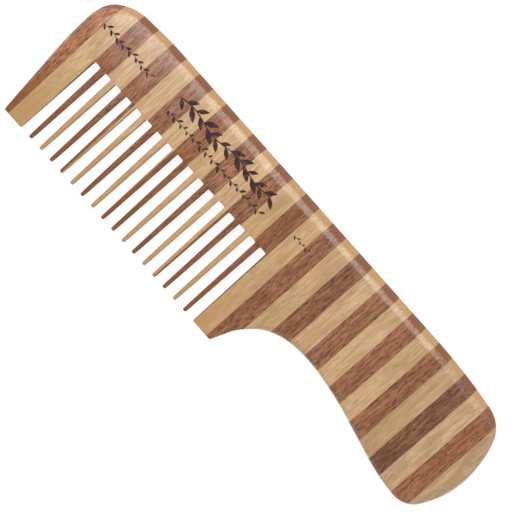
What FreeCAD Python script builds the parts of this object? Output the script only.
import FreeCAD, Part
import math
import os

import Sketcher

# A wide tooth hair comb cut from an edge-glued board of bamboo strips.
# Millimetres. X runs along the comb, from the head end (-X) to the handle end (+X). Y runs across
# it, teeth towards -Y and spine towards +Y. Z is the thickness, and the comb lies flat on Z = 0.
# The origin is under the middle of the comb.

Vec = FreeCAD.Vector

# ---------------------------------------------------------------- driving dimensions

STRIP_COUNT = 30

DIMENSIONS = {
    "thickness": 10.0,
    "rim_round": 2.0,
    # the strips of bamboo that the board is glued from
    "strip_pitch": 6.37,
    "first_joint_x": -89.75,
    "stock_reach": 100.0,
    # the gaps sawn between the teeth
    "gap_count": 17,
    "gap_pitch": 4.95,
    "first_gap_x": -81.75,
    "gap_root_y": 6.65,
    "gap_root_width": 2.85,
    "gap_tip_width": 3.55,
    "gap_corner_round": 0.35,
    "tip_y": -27.75,
    "saw_overrun": 2.25,
    # the relief that thins both faces from the root line down to the tooth tips
    "relief_start_y": 9.0,
    "relief_depth": 3.5,
    "relief_runout_x": 34.0,
    "relief_runout_length": 24.0,
    # the sanding of the teeth
    "tooth_edge_round": 0.5,
    "tip_round": 0.4,
}

# The outline's corners, anticlockwise from the outer corner of the head end's guard tooth: where
# the two straight runs would meet, and the radius that rounds them. A radius of 0 is a crisp corner.
OUTLINE = [
    ("head_guard_tip", -91.6, -27.75, 0.0),
    ("handle_guard_tip", 7.4, -27.75, 0.0),
    ("handle_guard_side", 10.2, -19.9, 6.0),
    ("finger_rest_wall", 15.9, -9.8, 22.0),
    ("finger_rest", 33.0, -6.4, 38.0),
    ("palm_start", 48.5, -8.4, 92.0),
    ("palm_swell", 76.0, -15.3, 66.0),
    ("heel", 89.0, -15.9, 8.6),
    ("handle_end", 98.2, 3.8, 34.0),
    ("handle_shoulder", 89.7, 25.0, 11.5),
    ("handle_crown", 69.0, 27.75, 200.0),
    ("head_crown", -71.6, 27.75, 40.0),
    ("head_shoulder", -86.8, 26.5, 16.0),
    ("head_corner", -95.1, 20.4, 10.0),
    ("head_end", -95.2, 6.1, 140.0),
]


# ---------------------------------------------------------------- document and sheet

def make_sheet(doc):
    """The spreadsheet of driving dimensions, one alias a row."""
    rows = dict(DIMENSIONS)
    for name, x, y, radius in OUTLINE:
        rows[name + "_x"] = x
        rows[name + "_y"] = y
        if radius:
            rows[name + "_round"] = radius
    sheet = doc.addObject("Spreadsheet::Sheet", "sheet")
    for row, (alias, value) in enumerate(rows.items(), start=1):
        sheet.set(f"A{row}", alias)
        sheet.set(f"B{row}", repr(value))
        sheet.setAlias(f"B{row}", alias)
    doc.recompute()
    return sheet


def origin_plane(body, role):
    """One of a body's own origin planes."""
    for feature in body.Origin.OriginFeatures:
        if feature.Role == role:
            return feature
    raise LookupError(role)


def sketch_on(body, name, role):
    sketch = body.newObject("Sketcher::SketchObject", name)
    sketch.AttachmentSupport = [(origin_plane(body, role), "")]
    sketch.MapMode = "FlatFace"
    return sketch


def bind(sketch, constraint, expression):
    """Adds a dimension to a sketch and ties it to the sheet."""
    index = sketch.addConstraint(constraint)
    sketch.setExpression(f"Constraints[{index}]", expression)


# ---------------------------------------------------------------- sketches

def corner_arc(before, corner, after, radius):
    """The centre, start and end of the arc that rounds a corner between two straight runs."""
    to_before = (before - corner).normalize()
    to_after = (after - corner).normalize()
    half_angle = to_before.getAngle(to_after) / 2
    setback = radius / math.tan(half_angle)
    middle = (to_before + to_after).normalize()
    centre = corner + middle * (radius / math.sin(half_angle))
    return centre, corner + to_before * setback, corner + to_after * setback


def arc_between(centre, start, end):
    """The shorter arc from start to end, and whether it runs anticlockwise."""
    anticlockwise = (start - centre).cross(end - centre).z > 0
    first, last = (start, end) if anticlockwise else (end, start)
    angles = [math.atan2(point.y - centre.y, point.x - centre.x) for point in (first, last)]
    circle = Part.Circle(centre, Vec(0, 0, 1), (start - centre).Length)
    return Part.ArcOfCircle(circle, angles[0], angles[1]), anticlockwise


def draw_rounded_outline(sketch, corners, bindings):
    """Draws a closed outline of straight runs joined by tangent arcs, fully constrained.

    corners holds (point, radius) in order, and bindings the expressions (x, y, radius) that drive
    them. Each rounded corner keeps a construction point where its two runs would meet.
    """
    count = len(corners)
    points = [point for point, _ in corners]
    starts = []
    ends = []
    arcs = []
    for i, (point, radius) in enumerate(corners):
        if radius:
            centre, start, end = corner_arc(points[i - 1], point, points[(i + 1) % count], radius)
            arcs.append((centre, start, end))
        else:
            start = end = point
            arcs.append(None)
        starts.append(start)
        ends.append(end)

    # run i goes from corner i to the next one
    runs = [
        sketch.addGeometry(Part.LineSegment(ends[i], starts[(i + 1) % count]))
        for i in range(count)
    ]
    for i, (x_cell, y_cell, round_cell) in enumerate(bindings):
        into, out_of = runs[i - 1], runs[i]
        if arcs[i] is None:
            sketch.addConstraint(Sketcher.Constraint("Coincident", into, 2, out_of, 1))
            holder, vertex = out_of, 1
        else:
            arc, anticlockwise = arc_between(*arcs[i])
            curve = sketch.addGeometry(arc)
            arc_start, arc_end = (1, 2) if anticlockwise else (2, 1)
            sketch.addConstraint(Sketcher.Constraint("Tangent", into, 2, curve, arc_start))
            sketch.addConstraint(Sketcher.Constraint("Tangent", curve, arc_end, out_of, 1))
            bind(sketch, Sketcher.Constraint("Radius", curve, corners[i][1]), round_cell)
            holder, vertex = sketch.addGeometry(Part.Point(points[i]), True), 1
            sketch.addConstraint(Sketcher.Constraint("PointOnObject", holder, 1, into))
            sketch.addConstraint(Sketcher.Constraint("PointOnObject", holder, 1, out_of))
        bind(sketch, Sketcher.Constraint("DistanceX", holder, vertex, points[i].x), x_cell)
        bind(sketch, Sketcher.Constraint("DistanceY", holder, vertex, points[i].y), y_cell)


def draw_comb_outline(body):
    sketch = sketch_on(body, "comb_outline", "XY_Plane")
    corners = [(Vec(x, y, 0), radius) for _, x, y, radius in OUTLINE]
    bindings = [(f"sheet.{name}_x", f"sheet.{name}_y", f"sheet.{name}_round") for name, *_ in OUTLINE]
    draw_rounded_outline(sketch, corners, bindings)
    return sketch


def draw_first_gap(body):
    """The first gap between teeth: a slot that widens towards the tips, with rounded root corners.

    It is drawn a little past the tips, to the line where the saw has left the board.
    """
    size = DIMENSIONS
    spread = (size["gap_tip_width"] - size["gap_root_width"]) / 2
    overrun = size["saw_overrun"] / (size["gap_root_y"] - size["tip_y"])
    mouth_half = size["gap_tip_width"] / 2 + spread * overrun
    root_half = size["gap_root_width"] / 2
    middle = size["first_gap_x"]
    mouth_y = size["tip_y"] - size["saw_overrun"]
    root_y = size["gap_root_y"]
    corners = [
        (Vec(middle - mouth_half, mouth_y, 0), 0.0),
        (Vec(middle + mouth_half, mouth_y, 0), 0.0),
        (Vec(middle + root_half, root_y, 0), size["gap_corner_round"]),
        (Vec(middle - root_half, root_y, 0), size["gap_corner_round"]),
    ]

    spread_cell = "(sheet.gap_tip_width - sheet.gap_root_width) / 2"
    overrun_cell = "sheet.saw_overrun / (sheet.gap_root_y - sheet.tip_y)"
    mouth_half_cell = f"(sheet.gap_tip_width / 2 + {spread_cell} * {overrun_cell})"
    mouth_y_cell = "sheet.tip_y - sheet.saw_overrun"
    root_half_cell = "sheet.gap_root_width / 2"
    bindings = [
        (f"sheet.first_gap_x - {mouth_half_cell}", mouth_y_cell, None),
        (f"sheet.first_gap_x + {mouth_half_cell}", mouth_y_cell, None),
        (f"sheet.first_gap_x + {root_half_cell}", "sheet.gap_root_y", "sheet.gap_corner_round"),
        (f"sheet.first_gap_x - {root_half_cell}", "sheet.gap_root_y", "sheet.gap_corner_round"),
    ]
    sketch = sketch_on(body, "first_gap", "XY_Plane")
    draw_rounded_outline(sketch, corners, bindings)
    return sketch


# ---------------------------------------------------------------- choosing edges

NEAR = 1e-3


def names_of(shape, wanted):
    """The names of a shape's edges for which wanted(edge) is true."""
    return [f"Edge{i}" for i, edge in enumerate(shape.Edges, start=1) if wanted(edge)]


def is_level(edge, height):
    box = edge.BoundBox
    return abs(box.ZMin - height) < NEAR and abs(box.ZMax - height) < NEAR


def is_rim(edge):
    """An edge of the top or bottom face, apart from the line across the tooth tips."""
    level = is_level(edge, 0) or is_level(edge, DIMENSIONS["thickness"])
    return level and edge.BoundBox.YMax > DIMENSIONS["tip_y"] + NEAR


def is_long_tooth_edge(edge):
    """An edge where a gap's walls meet one of the two thinned faces."""
    size = DIMENSIONS
    box = edge.BoundBox
    last_gap_x = size["first_gap_x"] + (size["gap_count"] - 1) * size["gap_pitch"]
    reach = size["gap_tip_width"] / 2 + NEAR
    beside_gaps = box.XMin > size["first_gap_x"] - reach and box.XMax < last_gap_x + reach
    one_gap_wide = box.XLength < reach
    below_root = box.YMax < size["gap_root_y"] + NEAR
    off_tip = box.YMax > size["tip_y"] + NEAR
    upright = box.ZLength > size["thickness"] / 2
    return beside_gaps and one_gap_wide and below_root and off_tip and not upright


def is_tip_edge(edge):
    """An edge of a tooth's end face."""
    box = edge.BoundBox
    return abs(box.YMax - DIMENSIONS["tip_y"]) < NEAR and abs(box.YMin - DIMENSIONS["tip_y"]) < NEAR


# ---------------------------------------------------------------- the whole comb's form

def add_fillet(body, name, wanted, cell):
    """Rounds the edges of the body's last feature that wanted chooses."""
    base = body.Tip
    body.Document.recompute()
    edges = names_of(base.Shape, wanted)
    fillet = body.newObject("PartDesign::Fillet", name)
    fillet.Base = (base, edges)
    fillet.setExpression("Radius", cell)
    print(name, "edges", len(edges))
    return fillet


def add_relief(body, name, face_z, turn):
    """Planes one face thinner towards the tips, with a ramp that ends it under the handle.

    The wedge is turned so that its own Y runs into the wood and its own Z along +Y or -Y. At the
    face it starts at the relief line, and at its full depth it starts at the tips.
    """
    root_at_face, root_at_depth = "sheet.relief_start_y", "sheet.tip_y"
    beyond = "-sheet.stock_reach"
    cells = {
        "Ymin": "0",
        "Ymax": "sheet.relief_depth",
        "Xmin": beyond,
        "X2min": beyond,
        "Xmax": "sheet.relief_runout_x",
        "X2max": "sheet.relief_runout_x - sheet.relief_runout_length",
    }
    if turn < 0:
        cells.update(Zmin=beyond, Z2min=beyond, Zmax=root_at_face, Z2max=root_at_depth)
    else:
        cells.update(Zmin=f"-{root_at_face}", Z2min=f"-{root_at_depth}")
        cells.update(Zmax="sheet.stock_reach", Z2max="sheet.stock_reach")
    wedge = body.newObject("PartDesign::SubtractiveWedge", name)
    for side, expression in cells.items():
        wedge.setExpression(side, expression)
    wedge.Placement = FreeCAD.Placement(Vec(0, 0, face_z), FreeCAD.Rotation(Vec(1, 0, 0), turn))
    return wedge


def make_comb_form(doc):
    """The whole comb as one sawn, planed and sanded form, before it is parted into its strips."""
    body = doc.addObject("PartDesign::Body", "comb_form")

    board = body.newObject("PartDesign::Pad", "board")
    board.Profile = draw_comb_outline(body)
    board.setExpression("Length", "sheet.thickness")
    add_fillet(body, "rounded_rim", is_rim, "sheet.rim_round")

    gap = body.newObject("PartDesign::Pocket", "sawn_gap")
    gap.Profile = draw_first_gap(body)
    gap.Type = "Length"
    gap.Reversed = True
    gap.setExpression("Length", "sheet.thickness")
    gaps = body.newObject("PartDesign::LinearPattern", "sawn_gaps")
    gaps.Originals = [gap]
    gaps.Direction = (gap.Profile[0], ["H_Axis"])
    gaps.setExpression("Length", "(sheet.gap_count - 1) * sheet.gap_pitch")
    gaps.setExpression("Occurrences", "sheet.gap_count")
    body.Tip = gaps
    doc.recompute()

    body.Tip = add_relief(body, "top_relief", DIMENSIONS["thickness"], -90)
    body.Tip = add_relief(body, "bottom_relief", 0, 90)
    doc.recompute()

    body.Tip = add_fillet(body, "sanded_teeth", is_long_tooth_edge, "sheet.tooth_edge_round")
    body.Tip = add_fillet(body, "sanded_tips", is_tip_edge, "sheet.tip_round")
    doc.recompute()
    return body


# ---------------------------------------------------------------- the strips

def make_strip(doc, form, number):
    """One glued strip: the part of the comb's form that lies in that strip's length of the board."""
    wood = "dark" if number % 2 else "light"
    label = f"strip_{number:02d}_{wood}"

    stock = doc.addObject("Part::Box", f"stock_{number:02d}")
    joint_before = f"sheet.first_joint_x + {number - 2} * sheet.strip_pitch"
    if number == 1:
        stock.setExpression("Placement.Base.x", "-sheet.stock_reach")
        stock.setExpression("Length", "sheet.stock_reach + sheet.first_joint_x")
    elif number == STRIP_COUNT:
        stock.setExpression("Placement.Base.x", joint_before)
        stock.setExpression("Length", f"sheet.stock_reach - ({joint_before})")
    else:
        stock.setExpression("Placement.Base.x", joint_before)
        stock.setExpression("Length", "sheet.strip_pitch")
    stock.setExpression("Placement.Base.y", "-sheet.stock_reach / 2")
    stock.setExpression("Width", "sheet.stock_reach")
    stock.setExpression("Placement.Base.z", "-sheet.thickness / 2")
    stock.setExpression("Height", "2 * sheet.thickness")

    strip = doc.addObject("Part::Common", label)
    strip.Base = form
    strip.Tool = stock
    strip.Label = label
    return strip


# ---------------------------------------------------------------- checks and files

VOLUME_TOLERANCE = 1.0


def check(doc, strips, form):
    """Stops if any object failed, or if a strip isn't one closed, valid solid."""
    for item in doc.Objects:
        bad = {"Invalid", "Error"} & set(item.State)
        if bad:
            raise RuntimeError(f"{item.Label}: {item.State}")
    for strip in strips:
        shape = strip.Shape
        if shape.isNull() or not shape.isValid() or len(shape.Solids) != 1:
            raise RuntimeError(f"{strip.Label}: null, invalid or not one solid")
    parted = sum(strip.Shape.Volume for strip in strips)
    whole = form.Shape.Volume
    if abs(parted - whole) > VOLUME_TOLERANCE:
        raise RuntimeError(f"the strips hold {parted:.1f} mm3 of the form's {whole:.1f}")


def main():
    doc = FreeCAD.newDocument("wide_tooth_comb")
    make_sheet(doc)
    form = make_comb_form(doc)
    strips = [make_strip(doc, form, number) for number in range(1, STRIP_COUNT + 1)]
    doc.recompute()
    check(doc, strips, form)

    os.makedirs("parts", exist_ok=True)
    for strip in strips:
        strip.Shape.exportStep(f"parts/{strip.Label}.step")
    box = form.Shape.optimalBoundingBox()
    print(f"comb {box.XLength:.2f} x {box.YLength:.2f} x {box.ZLength:.2f} mm")
    print(f"volume {form.Shape.Volume:.0f} mm3")
    print(f"x {box.XMin:.3f} to {box.XMax:.3f}, y {box.YMin:.3f} to {box.YMax:.3f}")
    print(f"{len(strips)} strips")


main()
